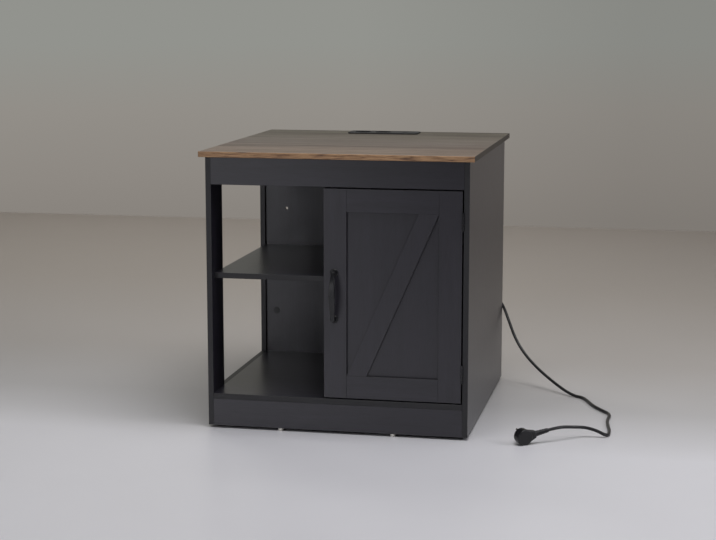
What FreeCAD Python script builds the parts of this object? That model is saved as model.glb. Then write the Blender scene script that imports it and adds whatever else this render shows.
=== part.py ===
"""Storage side table: open shelves on the left, a braced door on the right, a power unit in the top.

Millimetres, +Z up, front towards -Y.  The origin lies on the floor, in the middle of the
table's footprint (door handle included).
"""
import FreeCAD, Part
import math
import os
import re
import Sketcher
from FreeCAD import Placement, Rotation, Vector

doc = FreeCAD.newDocument("StorageSideTable")

# ---------------------------------------------------------------- driving sizes
SIZES = [
    # carcass boards
    ("cabinet_width", 576, "over the two sides"),
    ("cabinet_depth", 614, "front of the rails to the rear of the sides"),
    ("side_height", 594, "length of the side boards"),
    ("board", 12, "thickness of every carcass board"),
    ("top_thickness", 12, ""),
    ("top_side_overhang", 12, "top beyond each side"),
    ("top_front_overhang", 13, "top beyond the front rail"),
    ("top_edge_bevel", 0.8, ""),
    ("edge_bevel", 0.5, "broken edge of a visible board"),
    ("rail_height", 60, "front and rear top rails"),
    ("plinth_height", 60, "boards under the bottom shelf"),
    ("front_stile_width", 85, "front board of the open left side"),
    ("rear_stile_width", 159, "rear board of the open left side"),
    ("rear_space", 140, "open space behind the back panel"),
    ("open_bay_width", 249.5, "clear width of the open bay"),
    ("lower_bay_height", 254, "bottom shelf to the middle shelf"),
    ("shelf_setback", 20, "shelf front behind the front face"),
    ("inner_shelf_setback", 28, "loose shelf behind the front face"),
    ("inner_shelf_play", 1, "side play of the loose shelf"),
    ("glide_height", 6, ""),
    ("glide_radius", 6, ""),
    ("glide_bevel", 1, ""),
    ("glide_spacing", 250, "between the two glides of one plinth"),
    # back panel holes
    ("lead_hole_radius", 4, "small through hole of the upper bay"),
    ("lead_hole_inset", 52, "from the left inner face"),
    ("lead_hole_level", 89, "above the middle shelf"),
    # door
    ("door_gap", 3, "round the door"),
    ("door_panel_thickness", 12, ""),
    ("door_strip_thickness", 6, "raised frame and brace"),
    ("door_frame_width", 50, ""),
    ("door_brace_run", 44, "level width of the brace"),
    ("strip_bevel", 0.3, "broken outer edges of the frame strips"),
    ("door_rest_gap", 1, "door back to the divider"),
    # handle
    ("handle_spacing", 102, "between the two screws"),
    ("handle_inset", 23, "screw line to the door's free edge"),
    ("handle_drop", 4, "handle's middle below the door's middle"),
    ("handle_reach", 28, "furthest point from the door"),
    ("handle_bar_width", 13.5, "bow's width in its middle"),
    ("handle_tip_width", 7.6, "bow's width at its posts"),
    ("handle_bar_thickness", 5.5, ""),
    ("handle_post_width", 9, "post's height on the door"),
    ("handle_post_outer", 12, "bow leaves the post's outside at this reach"),
    ("handle_post_inner", 9, "and its inside at this one"),
    ("handle_outer_round", 6, "outer bend from post to bow"),
    ("handle_inner_round", 3, ""),
    ("handle_edge_round", 1.4, "long edges of the bow"),
    ("handle_foot_radius", 9, "round foot against the door"),
    ("handle_foot_height", 3, ""),
    ("handle_foot_round", 2.2, ""),
    ("handle_screw_radius", 2, ""),
    ("handle_screw_grip", 8, "thread inside the handle"),
    ("handle_screw_head_radius", 4, ""),
    ("handle_screw_head_height", 2.4, ""),
    # hinges
    ("hinge_height", 38, ""),
    ("hinge_inset", 64, "hinge middle to the door's end"),
    ("hinge_leaf", 1, "thickness of a leaf"),
    ("hinge_leaf_depth", 17, "leaf reach behind the front face"),
    ("knuckle_radius", 2.5, ""),
    ("knuckle_play", 0.3, "knuckle ends, and barrel to the boards"),
    ("knuckle_count", 5, ""),
    ("leaf_root", 0.4, "leaf's root clear of the pin bore"),
    ("hinge_pin_radius", 1.2, ""),
    ("hinge_pin_play", 0.05, "radial"),
    ("hinge_pin_head_radius", 2.1, ""),
    ("hinge_pin_head_height", 0.8, ""),
    ("hinge_screw_radius", 1.25, ""),
    ("hinge_screw_head_radius", 2.2, ""),
    ("hinge_screw_length", 10, ""),
    ("hinge_screw_spacing", 24, ""),
    ("hinge_screw_depth", 10, "screw line behind the front face"),
    # magnetic catch
    ("catch_length", 42, "along Z"),
    ("catch_width", 14, "away from the divider"),
    ("catch_depth", 16, "behind the divider's front edge"),
    ("catch_drop", 60, "catch top to the front rail's underside"),
    ("catch_ear_length", 9, "screwed ends of the catch"),
    ("catch_ear_thickness", 3, ""),
    ("catch_magnet_length", 18, ""),
    ("catch_magnet_width", 8, ""),
    ("catch_magnet_depth", 10, ""),
    ("catch_screw_inset", 4.5, "from each end of the catch or plate"),
    ("catch_screw_radius", 1.5, ""),
    ("catch_screw_head_radius", 2.8, ""),
    ("catch_screw_head_height", 1.6, ""),
    ("catch_screw_length", 8, "in the wood"),
    ("catch_plate_thickness", 1.2, ""),
    ("catch_plate_width", 12, ""),
    ("catch_plate_corner", 4, ""),
    ("catch_plate_play", 0.3, "plate to magnet"),
    # shelf pins
    ("pin_radius", 2.5, ""),
    ("pin_depth", 8, "in the board"),
    ("pin_reach", 9, "under the shelf"),
    ("pin_setback", 60, "pin line from each shelf edge"),
    ("pin_pitch", 32, "rows of holes"),
    # joinery
    ("dowel_radius", 3, ""),
    ("dowel_face_depth", 8, "in the face of a board"),
    ("dowel_edge_depth", 20, "in the edge of a board"),
    ("joint_clearance", 0.05, "radial, round dowels and cams"),
    ("joint_end_play", 0.5, "beyond the ends of dowels and bolts"),
    ("end_dowel_inset", 30, "dowels from the ends of long joints"),
    ("joint_inset", 60, "cams and inner dowels from the ends"),
    ("top_dowel_inset", 25, "dowels under the top"),
    ("shelf_dowel_inset", 20, "middle shelf to the front stile"),
    ("divider_dowel_inset", 40, ""),
    ("back_dowel_inset", 90, "back panel, from the sides"),
    ("back_cam_low", 102, "above the bottom shelf"),
    ("back_cam_high", 90, "under the top"),
    ("cam_radius", 7.5, ""),
    ("cam_thickness", 9.5, ""),
    ("cam_reach", 26, "cam centre to the joint"),
    ("cam_slot_width", 2, "cross slot"),
    ("cam_slot_length", 9, ""),
    ("cam_slot_depth", 2.5, ""),
    ("cap_radius", 8.5, "cover over a cam of the back panel"),
    ("cap_thickness", 0.8, ""),
    ("bolt_radius", 3, ""),
    ("bolt_face_depth", 8, "thread in the face of a board"),
    # power unit
    ("unit_body_length", 156, "left to right"),
    ("unit_body_depth", 52, "below the top's surface"),
    ("unit_rim_end", 8, "rim beyond the body's ends"),
    ("unit_rim_side", 7, "rim beyond the body's long sides"),
    ("unit_rim_height", 3, "proud of the top"),
    ("unit_rim_round", 1, "upper edge of the rim"),
    ("unit_corner_radius", 12, ""),
    ("unit_rear_gap", 20, "body to the rear rail"),
    ("unit_slack", 1, "inserts to the end walls"),
    ("unit_side_slack", 0.5, "inserts to the long walls"),
    ("unit_wall", 2, ""),
    ("cutout_play", 1.5, "cut-out round the body"),
    ("socket_gap", 4, "between the two sockets' lips"),
    ("socket_well_radius", 19.5, ""),
    ("socket_well_depth", 17.5, ""),
    ("socket_wall", 1.8, ""),
    ("socket_floor", 5, ""),
    ("socket_pin_radius", 2.6, ""),
    ("socket_pin_spacing", 19, ""),
    ("socket_play", 0.2, "insert in the rim"),
    ("socket_collar", 1.2, "lip under the rim"),
    ("socket_collar_height", 2, ""),
    ("earth_clip_width", 5, ""),
    ("earth_clip_thickness", 1, ""),
    ("earth_clip_height", 13, ""),
    ("earth_clip_play", 0.2, "behind the clip"),
    ("charger_length", 30, "charging module, left to right"),
    ("charger_width", 40, ""),
    ("charger_depth", 18, ""),
    ("charger_end_gap", 9, "charging module to the body's right end"),
    ("charger_slot_length", 13, ""),
    ("charger_slot_height", 5.4, ""),
    ("charger_slot_depth", 12, ""),
    ("charger_collar", 1.2, "lip under the rim"),
    ("charger_slot_spacing", 16, ""),
    ("clamp_length", 10, ""),
    ("clamp_width", 18, ""),
    ("clamp_height", 8, ""),
    # cord
    ("cord_radius", 3.5, ""),
    ("cord_lift", 0.1, "cord clear of the floor"),
    ("cord_lead_in", 28, "straight run into the plug"),
    ("cord_exit_inset", 18, "from the body's right end"),
    ("cord_drop", 31, "straight run out of the strain relief"),
    ("cord_bend_share", 0.45, "part of the shorter run given to each bend"),
    ("relief_length", 30, "strain relief under the unit"),
    ("relief_root_radius", 7.5, ""),
    ("relief_tip_radius", 4.6, ""),
    ("relief_groove", 1, "depth of the grooves between its ribs"),
    ("relief_ribs", 4, ""),
    ("plug_radius", 17, ""),
    ("plug_thickness", 22, ""),
    ("plug_back", 9, "back face from the cord's axis"),
    ("plug_back_round", 3, ""),
    ("plug_across", 410, "middle of the head, on the floor"),
    ("plug_depth", -300, ""),
    ("plug_heading", 33, "turn of the cord end from +X, degrees"),
    ("plug_tilt", 9.5, "rise of the cord end, degrees"),
    ("plug_grip_radius", 1.1, "finger grooves on the rim"),
    ("plug_grip_length", 16.5, ""),
    ("plug_grip_count", 9, ""),
    ("plug_grip_sweep", 100, "degrees"),
    ("plug_shoulder_start", 3, "tapering shoulder, from the head's middle"),
    ("plug_shoulder_end", 28, ""),
    ("plug_shoulder_root", 16, "half its width where it starts"),
    ("plug_shoulder_tip", 7.6, "and where it ends"),
    ("plug_shoulder_thickness", 15, ""),
    ("plug_shoulder_round", 4.5, ""),
    ("plug_neck_length", 33, "from the head's middle"),
    ("plug_neck_root_radius", 8.6, ""),
    ("plug_neck_radius", 6, ""),
    ("plug_relief_length", 24, ""),
    ("plug_relief_tip_radius", 5, ""),
    ("plug_pin_radius", 2.4, ""),
    ("plug_pin_length", 19, ""),
    ("plug_pin_round", 1.2, ""),
    ("plug_pin_spacing", 19, ""),
]

# ---------------------------------------------------------------- places worked out from them
PLACES = [
    ("left_outer", "-cabinet_width / 2"),
    ("left_inner", "left_outer + board"),
    ("right_outer", "cabinet_width / 2"),
    ("right_inner", "right_outer - board"),
    ("inner_width", "right_inner - left_inner"),
    ("front", "(handle_reach - cabinet_depth) / 2"),
    ("rear", "front + cabinet_depth"),
    ("base", "glide_height"),
    ("under_top", "base + side_height"),
    ("top_surface", "under_top + top_thickness"),
    ("rail_under", "under_top - rail_height"),
    ("plinth_top", "base + plinth_height"),
    ("floor_top", "plinth_top + board"),
    ("stile_back", "front + front_stile_width"),
    ("rear_stile_front", "rear - rear_stile_width"),
    ("bay_back", "rear - rear_space - board"),
    ("storage_depth", "bay_back - front"),
    ("shelf_under", "floor_top + lower_bay_height"),
    ("shelf_top", "shelf_under + board"),
    ("divider_left", "left_inner + open_bay_width"),
    ("divider_right", "divider_left + board"),
    ("door_depth", "door_panel_thickness + door_strip_thickness"),
    ("door_back", "front + door_depth"),
    ("divider_front", "door_back + door_rest_gap"),
    ("door_width", "right_inner - door_gap - divider_left"),
    ("door_right", "divider_left + door_width"),
    ("door_bottom", "floor_top + door_gap"),
    ("door_height", "rail_under - door_gap - door_bottom"),
    ("door_top", "door_bottom + door_height"),
    ("field_width", "door_width - 2 * door_frame_width"),
    ("field_height", "door_height - 2 * door_frame_width"),
    ("handle_centre_across", "divider_left + handle_inset"),
    ("handle_centre_level", "door_bottom + door_height / 2 - handle_drop"),
    ("handle_half_outer", "(handle_spacing + handle_post_width) / 2"),
    ("handle_half_inner", "(handle_spacing - handle_post_width) / 2"),
    ("handle_outer_rise", "handle_reach - handle_post_outer"),
    ("handle_inner_rise", "handle_reach - handle_bar_thickness - handle_post_inner"),
    ("handle_outer_bend", "(handle_half_outer ^ 2 + handle_outer_rise ^ 2) / (2 * handle_outer_rise)"),
    ("handle_inner_bend", "(handle_half_inner ^ 2 + handle_inner_rise ^ 2) / (2 * handle_inner_rise)"),
    ("handle_flank_half", "handle_half_outer + handle_post_width"),
    ("handle_swell", "(handle_bar_width - handle_tip_width) / 2"),
    ("handle_flank_bend", "(handle_half_inner ^ 2 + handle_swell ^ 2) / (2 * handle_swell)"),
    ("hinge_axis_across", "right_inner - door_gap / 2"),
    ("hinge_axis_depth", "front - knuckle_radius - knuckle_play"),
    ("hinge_offset", "knuckle_radius + knuckle_play"),
    ("knuckle_pitch", "hinge_height / knuckle_count"),
    ("catch_bottom", "rail_under - catch_drop - catch_length"),
    ("catch_front", "door_back + catch_plate_thickness + catch_plate_play"),
    ("lower_hinge", "door_bottom + hinge_inset - hinge_height / 2"),
    ("upper_hinge", "door_top - hinge_inset - hinge_height / 2"),
    ("socket_outer", "socket_well_radius + socket_wall"),
    ("socket_lip", "socket_outer + socket_collar"),
    ("unit_body_width", "2 * (socket_lip + unit_side_slack + unit_wall)"),
    ("unit_length", "unit_body_length + 2 * unit_rim_end"),
    ("unit_width", "unit_body_width + 2 * unit_rim_side"),
    ("unit_middle", "rear - board - unit_rear_gap - unit_body_width / 2"),
    ("unit_floor", "top_surface - unit_body_depth"),
    ("relief_end", "unit_floor - relief_length"),
    ("left_socket_across", "unit_wall + unit_slack + socket_lip - unit_body_length / 2"),
    ("right_socket_across", "left_socket_across + 2 * socket_lip + socket_gap"),
    ("charger_across", "unit_body_length / 2 - unit_wall - charger_end_gap - charger_length / 2"),
    ("cord_exit_across", "unit_body_length / 2 - cord_exit_inset"),
    ("rim_top", "top_surface + unit_rim_height"),
    ("inner_bay_left", "divider_right"),
    ("inner_bay_width", "right_inner - divider_right"),
]

sizes = doc.addObject("Spreadsheet::Sheet", "Sizes")
places = doc.addObject("Spreadsheet::Sheet", "Places")
SIZE_NAMES = {name for name, value, note in SIZES}
PLACE_NAMES = {name for name, formula in PLACES}


def qualified(text):
    """Put the owning sheet before each size or place named in an expression."""
    def owner(match):
        word = match.group(0)
        if word in SIZE_NAMES:
            return "Sizes." + word
        if word in PLACE_NAMES:
            return "Places." + word
        return word
    return re.sub(r"[a-z_]+", owner, text)


for row, (name, value, note) in enumerate(SIZES, start=1):
    sizes.set(f"A{row}", name)
    sizes.set(f"B{row}", str(value))
    sizes.set(f"C{row}", note)
    sizes.setAlias(f"B{row}", name)
doc.recompute()
for row, (name, formula) in enumerate(PLACES, start=1):
    places.set(f"A{row}", name)
    places.set(f"B{row}", "=" + qualified(formula).replace("Places.", ""))
    places.setAlias(f"B{row}", name)
    doc.recompute([places])
doc.recompute()


def value_of(name):
    """Number behind a size or place."""
    sheet = sizes if name in SIZE_NAMES else places
    return float(getattr(sheet, name))


# ---------------------------------------------------------------- modelling helpers
# sketch plane for a face normal: origin plane, and whether a pad must be reversed to grow that way
PLANES = {"X": ("YZ_Plane", False), "Y": ("XZ_Plane", True), "Z": ("XY_Plane", False)}
# mm; spots closer together than this are the same spot
HAIR = 1e-6
# numbers a sketch gives its own axes; the first one's start is the sketch's origin
ACROSS_AXIS, UP_AXIS = range(-1, -3, -1)
nodes = []


def bind(item, path, text):
    """Tie a property to an expression in named sizes; a plain number is set as it is."""
    item.setExpression(path, qualified(str(text)))


def stand(item, corner):
    """Place an object with its local origin at three expressions."""
    for letter, text in zip("xyz", corner):
        bind(item, "Placement.Base." + letter, text)


def keep(item, label):
    """Name an object as one of the table's pieces."""
    item.Label = label
    nodes.append(item)
    return item


def new_body(label, corner):
    body = doc.addObject("PartDesign::Body", label + "_body")
    stand(body, corner)
    return body


def new_sketch(body, normal, name, offset=None):
    """Sketch on the body's own origin plane, moved along its normal by an expression."""
    role, reverse = PLANES[normal]
    plane = [part for part in body.Origin.OriginFeatures if part.Role == role][0]
    sketch = body.newObject("Sketcher::SketchObject", name)
    sketch.AttachmentSupport = [(plane, "")]
    sketch.MapMode = "FlatFace"
    if offset is not None:
        sign = "-" if reverse else ""
        bind(sketch, "AttachmentOffset.Base.z", f"{sign}({offset})")
    return sketch


def fix_point(sketch, geometry, point, across, up):
    """Hold one sketch point at two expressions measured from the sketch's origin."""
    for kind, text, axis in (("DistanceX", across, UP_AXIS), ("DistanceY", up, ACROSS_AXIS)):
        if str(text) == "0":
            sketch.addConstraint(Sketcher.Constraint("PointOnObject", geometry, point, axis))
            continue
        distance = Sketcher.Constraint(kind, ACROSS_AXIS, 1, geometry, point, number(text))
        index = sketch.addConstraint(distance)
        sketch.setExpression(f"Constraints[{index}]", qualified(str(text)))


def number(text):
    """Present value of an expression in named sizes."""
    filled = re.sub(r"[a-z_]+", lambda match: f"({value_of(match.group(0))!r})", str(text))
    return FreeCAD.Units.Quantity(filled).Value


def polygon(sketch, points):
    """Closed outline of straight lines through points given as pairs of expressions."""
    spots = [Vector(number(across), number(up), 0) for across, up in points]
    first = sketch.GeometryCount
    count = len(points)
    for index in range(count):
        sketch.addGeometry(Part.LineSegment(spots[index], spots[(index + 1) % count]), False)
    for index in range(count):
        follower = first + (index + 1) % count
        sketch.addConstraint(Sketcher.Constraint("Coincident", first + index, 2, follower, 1))
    for index, (across, up) in enumerate(points):
        fix_point(sketch, first + index, 1, across, up)


def rectangle(sketch, left, low, width, height):
    """Level rectangle from its lower left corner."""
    right = width if str(left) == "0" else f"{left} + {width}"
    high = height if str(low) == "0" else f"{low} + {height}"
    polygon(sketch, [(left, low), (right, low), (right, high), (left, high)])


def hold_radius(sketch, geometry, radius):
    held = sketch.addConstraint(Sketcher.Constraint("Radius", geometry, number(radius)))
    sketch.setExpression(f"Constraints[{held}]", qualified(str(radius)))


def bowed_outline(sketch, corners):
    """Closed outline; a radius and a side on a corner bow the run that starts there, 1 to its left."""
    spots = [Vector(number(corner[0]), number(corner[1]), 0) for corner in corners]
    first = sketch.GeometryCount
    count = len(corners)
    starts = []
    for index, corner in enumerate(corners):
        start = spots[index]
        half = (spots[(index + 1) % count] - start) / 2
        if len(corner) == 2:
            run = Part.LineSegment(start, start + half * 2)
        else:
            radius = number(corner[2])
            rise = radius - math.sqrt(radius ** 2 - half.Length ** 2)
            outward = Vector(-half.y, half.x, 0).normalize() * corner[3]
            run = Part.Arc(start, start + half + outward * rise, start + half * 2)
        sketch.addGeometry(run, False)
        starts.append(1 if sketch.getPoint(first + index, 1).isEqual(start, HAIR) else 2)
    for index in range(count):
        follower = (index + 1) % count
        sketch.addConstraint(Sketcher.Constraint("Coincident", first + index, 3 - starts[index],
                                                 first + follower, starts[follower]))
    for index, corner in enumerate(corners):
        fix_point(sketch, first + index, starts[index], corner[0], corner[1])
        if len(corner) > 2:
            hold_radius(sketch, first + index, corner[2])


def circle(sketch, across, up, radius):
    spot = Vector(number(across), number(up), 0)
    index = sketch.addGeometry(Part.Circle(spot, Vector(0, 0, 1), number(radius)), False)
    fix_point(sketch, index, 3, across, up)
    hold_radius(sketch, index, radius)


def pad(body, sketch, normal, length, name="Pad", taper=None, away=False):
    """Grow a sketch along +normal, or along -normal when away is set."""
    feature = body.newObject("PartDesign::Pad", name)
    feature.Profile = sketch
    bind(feature, "Length", length)
    feature.Reversed = PLANES[normal][1] != away
    if taper is not None:
        bind(feature, "TaperAngle", taper)
    sketch.Visibility = False
    doc.recompute()
    return feature


def pocket(body, sketch, normal, depth=None, away=False, name="Pocket", taper=None):
    """Cut a sketch along +normal (or -normal when away), through everything without a depth."""
    before = body.Tip.Shape.Volume
    feature = body.newObject("PartDesign::Pocket", name)
    feature.Profile = sketch
    feature.Reversed = PLANES[normal][1] == away
    if depth is None:
        feature.Type = "ThroughAll"
        feature.Midplane = True
    else:
        bind(feature, "Length", depth)
    if taper is not None:
        bind(feature, "TaperAngle", taper)
    sketch.Visibility = False
    doc.recompute()
    if feature.Shape.Volume >= before:
        raise RuntimeError(f"{body.Name}: {name} cuts nothing")
    return feature


def edges_where(feature, test):
    """Names of a feature's edges whose middle passes a test."""
    found = []
    for index, edge in enumerate(feature.Shape.Edges, start=1):
        middle = edge.valueAt((edge.FirstParameter + edge.LastParameter) / 2)
        if test(middle, edge):
            found.append(f"Edge{index}")
    return found


def bevel(body, size, test, kind="PartDesign::Chamfer"):
    """Break the edges of the body's last feature that pass a test."""
    base = body.Tip
    feature = body.newObject(kind, kind.split("::")[1])
    feature.Base = (base, edges_where(base, test))
    bind(feature, "Size" if kind.endswith("Chamfer") else "Radius", size)
    doc.recompute()
    return feature


def straight_edge(edge):
    return edge.Curve.TypeId == "Part::GeomLine"


def flat_board(normal, label, corner, across, up, thickness="board", cuts=None):
    """Board sketched on its face and padded by its thickness."""
    body = new_body(label, corner)
    sketch = new_sketch(body, normal, label + "_outline")
    rectangle(sketch, "0", "0", across, up)
    pad(body, sketch, normal, thickness)
    if cuts:
        cuts(body)
    return body


def rod(axis, start, length, radius):
    """Cylinder along an axis from a start point given as expressions."""
    item = doc.addObject("Part::Cylinder", "Rod")
    turns = {"X": Rotation(Vector(0, 1, 0), 90), "Y": Rotation(Vector(1, 0, 0), -90), "Z": Rotation()}
    item.Placement = FreeCAD.Placement(Vector(), turns[axis])
    stand(item, start)
    bind(item, "Height", length)
    bind(item, "Radius", radius)
    return item


def block(corner, spans):
    item = doc.addObject("Part::Box", "Block")
    stand(item, corner)
    for path, text in zip(("Length", "Width", "Height"), spans):
        bind(item, path, text)
    return item


def group(label, items):
    item = doc.addObject("Part::Compound", label)
    item.Links = items
    return item


def moved(axis, corner, text):
    """The point shifted along an axis by an expression."""
    shifted = list(corner)
    index = "XYZ".index(axis)
    shifted[index] = f"{corner[index]} + ({text})"
    return tuple(shifted)


# ---------------------------------------------------------------- joinery
dowels = []
cams = []
cam_bolts = []
cam_caps = []
bores = []


def dowel(axis, towards, spot):
    """Dowel across a joint; the edge-joined board lies towards +1 or -1 along the axis."""
    back = "dowel_face_depth" if towards > 0 else "dowel_edge_depth"
    length = "dowel_face_depth + dowel_edge_depth"
    dowels.append(rod(axis, moved(axis, spot, f"-{back}"), length, "dowel_radius"))
    bores.append(rod(axis, moved(axis, spot, f"-{back} - joint_end_play"),
                     f"{length} + 2 * joint_end_play", "dowel_radius + joint_clearance"))


def cam_joint(axis, towards, spot, cam_axis, cam_face, cam_towards):
    """Bolt across a joint, pulled tight by a cam sunk in the face of the edge-joined board."""
    sign = "" if towards > 0 else "-"
    free = "cam_reach - cam_radius"
    bolt_start = "-bolt_face_depth" if towards > 0 else f"-({free})"
    bolt_length = f"bolt_face_depth + {free}"
    cam_bolts.append(rod(axis, moved(axis, spot, bolt_start), bolt_length, "bolt_radius"))
    bore_start = "-bolt_face_depth - joint_end_play" if towards > 0 else "-cam_reach"
    bores.append(rod(axis, moved(axis, spot, bore_start),
                     "bolt_face_depth + joint_end_play + cam_reach", "bolt_radius + joint_clearance"))
    centre = list(moved(axis, spot, f"{sign}cam_reach"))
    centre["XYZ".index(cam_axis)] = cam_face
    start = tuple(centre) if cam_towards > 0 else moved(cam_axis, centre, "-cam_thickness")
    body = rod(cam_axis, start, "cam_thickness", "cam_radius")
    bores.append(rod(cam_axis, start, "cam_thickness", "cam_radius + joint_clearance"))
    cams.append(slotted(body, cam_axis, tuple(centre), cam_towards))


def slotted(body, axis, centre, towards):
    """Cam with a cross slot for the screwdriver in its open end."""
    others = [letter for letter in "XYZ" if letter != axis]
    bars = []
    for long_axis in others:
        spans = {letter: "cam_slot_width" for letter in others}
        spans[long_axis] = "cam_slot_length"
        spans[axis] = "cam_slot_depth"
        corner = centre
        for letter in others:
            corner = moved(letter, corner, f"-{spans[letter]} / 2")
        if towards < 0:
            corner = moved(axis, corner, "-cam_slot_depth")
        bars.append(block(corner, (spans["X"], spans["Y"], spans["Z"])))
    cut = doc.addObject("Part::Cut", "Cam")
    cut.Base = body
    cut.Tool = group("CamSlot", bars)
    return cut


rail_mid = "front + board / 2"
rear_mid = "rear - board / 2"
bottom_mid = "plinth_top + board / 2"
back_mid = "bay_back + board / 2"

# rails and plinths between the sides: a dowel and a cam at each end
for mid, cam_face, cam_towards in ((rail_mid, "front + board", -1), (rear_mid, "rear - board", 1)):
    for low, height in (("rail_under", "rail_height"), ("base", "plinth_height")):
        for end, towards in (("left_inner", 1), ("right_inner", -1)):
            dowel("X", towards, (end, mid, f"{low} + {height} / 4"))
            cam_joint("X", towards, (end, mid, f"{low} + {height} * 3 / 4"), "Y", cam_face, cam_towards)

# bottom shelf to the sides
for end, towards in (("left_inner", 1), ("right_inner", -1)):
    for depth in ("front + end_dowel_inset", "rear - end_dowel_inset"):
        dowel("X", towards, (end, depth, bottom_mid))
    for depth in ("front + joint_inset", "rear - joint_inset"):
        cam_joint("X", towards, (end, depth, bottom_mid), "Z", "plinth_top", 1)

# back panel to the sides, to the bottom shelf and to the top
for end, towards in (("left_inner", 1), ("right_inner", -1)):
    for level in ("floor_top + back_cam_low", "under_top - back_cam_high"):
        cam_joint("X", towards, (end, back_mid, level), "Y", "bay_back", 1)
        across = f"{end} + {towards} * cam_reach"
        spot = (across, "bay_back - cap_thickness", level)
        cam_caps.append(rod("Y", spot, "cap_thickness", "cap_radius"))
    dowel("X", towards, (end, back_mid, "floor_top + end_dowel_inset"))
    dowel("X", towards, (end, back_mid, "under_top - end_dowel_inset"))
for across in ("left_inner + back_dowel_inset", "right_inner - back_dowel_inset"):
    dowel("Z", 1, (across, back_mid, "floor_top"))
    dowel("Z", -1, (across, back_mid, "under_top"))

# divider to the bottom shelf, the top and the back panel
divider_mid = "divider_left + board / 2"
for depth in ("divider_front + divider_dowel_inset", "bay_back - divider_dowel_inset"):
    dowel("Z", 1, (divider_mid, depth, "floor_top"))
    dowel("Z", -1, (divider_mid, depth, "under_top"))
for level in ("floor_top + joint_inset", "under_top - joint_inset"):
    dowel("Y", -1, (divider_mid, "bay_back", level))

# fixed middle shelf to the front stile, the divider and the back panel
shelf_mid = "shelf_under + board / 2"
for depth in ("front + shelf_setback + shelf_dowel_inset", "stile_back - shelf_dowel_inset"):
    dowel("X", 1, ("left_inner", depth, shelf_mid))
for depth in ("divider_front + joint_inset", "bay_back - joint_inset"):
    dowel("X", -1, ("divider_left", depth, shelf_mid))
for across in ("left_inner + joint_inset", "divider_left - joint_inset"):
    dowel("Y", -1, (across, "bay_back", shelf_mid))

# top rail and bottom rail of the open left side
left_mid = "left_outer + board / 2"
for low, height in (("rail_under", "rail_height"), ("base", "plinth_height")):
    for share in ("/ 4", "* 3 / 4"):
        dowel("Y", 1, (left_mid, "stile_back", f"{low} + {height} {share}"))
        dowel("Y", -1, (left_mid, "rear_stile_front", f"{low} + {height} {share}"))

# top on the sides
right_mid = "right_inner + board / 2"
for depth in ("front + top_dowel_inset", "rear - top_dowel_inset"):
    dowel("Z", -1, (left_mid, depth, "under_top"))
    dowel("Z", -1, (right_mid, depth, "under_top"))
for depth in ("front + joint_inset", "rear - joint_inset"):
    cam_joint("Z", -1, (left_mid, depth, "under_top"), "X", "left_inner", -1)
    cam_joint("Z", -1, (right_mid, depth, "under_top"), "X", "right_inner", 1)

# pilot holes for the hinge screws, the handle screws and the catch
hinge_screws = []
for foot in ("lower_hinge", "upper_hinge"):
    for step in ("-hinge_screw_spacing / 2", "hinge_screw_spacing / 2"):
        level = f"{foot} + hinge_height / 2 + {step}"
        depth = "front + hinge_screw_depth"
        into_side = ("right_inner - hinge_leaf", depth, level)
        into_door = ("door_right + hinge_leaf", depth, level)
        hinge_screws.append((into_side, 1))
        hinge_screws.append((into_door, -1))
handle_levels = ("handle_centre_level - handle_spacing / 2", "handle_centre_level + handle_spacing / 2")

# rows of shelf pin holes in the divider and the right side
pin_level = "shelf_under - pin_radius"
pin_lines = ("front + inner_shelf_setback + pin_setback", "bay_back - pin_setback")
shelf_pins = []
for line in pin_lines:
    for step in (-1, 0, 1):
        level = f"{pin_level} + {step} * pin_pitch"
        bores.append(rod("X", ("divider_right - pin_depth", line, level), "pin_depth",
                         "pin_radius + joint_clearance"))
        bores.append(rod("X", ("right_inner", line, level), "pin_depth", "pin_radius + joint_clearance"))
    for face, inward in (("divider_right", 1), ("right_inner", -1)):
        start = f"{face} - pin_depth" if inward > 0 else f"{face} - pin_reach"
        shelf_pins.append(rod("X", (start, line, pin_level), "pin_depth + pin_reach", "pin_radius"))

screw_bores = []
screw_run = "hinge_leaf + hinge_screw_length + joint_end_play"
for (across, depth, level), towards in hinge_screws:
    start = across if towards > 0 else f"{across} - ({screw_run})"
    screw_bores.append(rod("X", (start, depth, level), screw_run, "hinge_screw_radius + joint_clearance"))
for up in ("catch_screw_inset", "catch_length - catch_screw_inset"):
    run = "catch_screw_length + joint_end_play"
    screw_bores.append(rod("X", (f"divider_right - ({run})", "catch_front + catch_depth / 2",
                                 f"catch_bottom + {up}"), run, "catch_screw_radius + joint_clearance"))
    screw_bores.append(rod("Y", ("divider_right + catch_width / 2", f"door_back - ({run})",
                                 f"catch_bottom + {up}"), run, "catch_screw_radius + joint_clearance"))
handle_bores = [rod("Y", ("handle_centre_across", "front", level), "door_depth",
                    "handle_screw_radius + joint_clearance") for level in handle_levels]
carcass_bores = group("CarcassBores", bores + screw_bores)


def drilled(label, blank, tool=carcass_bores):
    """The blank with every bore that reaches it."""
    item = doc.addObject("Part::Cut", label)
    item.Base = blank
    item.Tool = tool
    return keep(item, label)


# ---------------------------------------------------------------- carcass
def front_edges(middle, edge):
    return middle.y < HAIR and straight_edge(edge)


def side_board(label, across, depth_start, level, depth, height, soft=True):
    body = flat_board("X", label, (across, depth_start, level), depth, height)
    if soft:
        bevel(body, "edge_bevel", front_edges)
    return drilled(label, body)


side_board("right_side_panel", "right_inner", "front", "base", "cabinet_depth", "side_height")
side_board("left_front_stile", "left_outer", "front", "base", "front_stile_width", "side_height")
side_board("left_rear_stile", "left_outer", "rear_stile_front", "base", "rear_stile_width", "side_height")
side_board("left_top_rail", "left_outer", "stile_back", "rail_under",
           "rear_stile_front - stile_back", "rail_height", soft=False)
side_board("left_bottom_rail", "left_outer", "stile_back", "base",
           "rear_stile_front - stile_back", "floor_top - base", soft=False)


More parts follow.
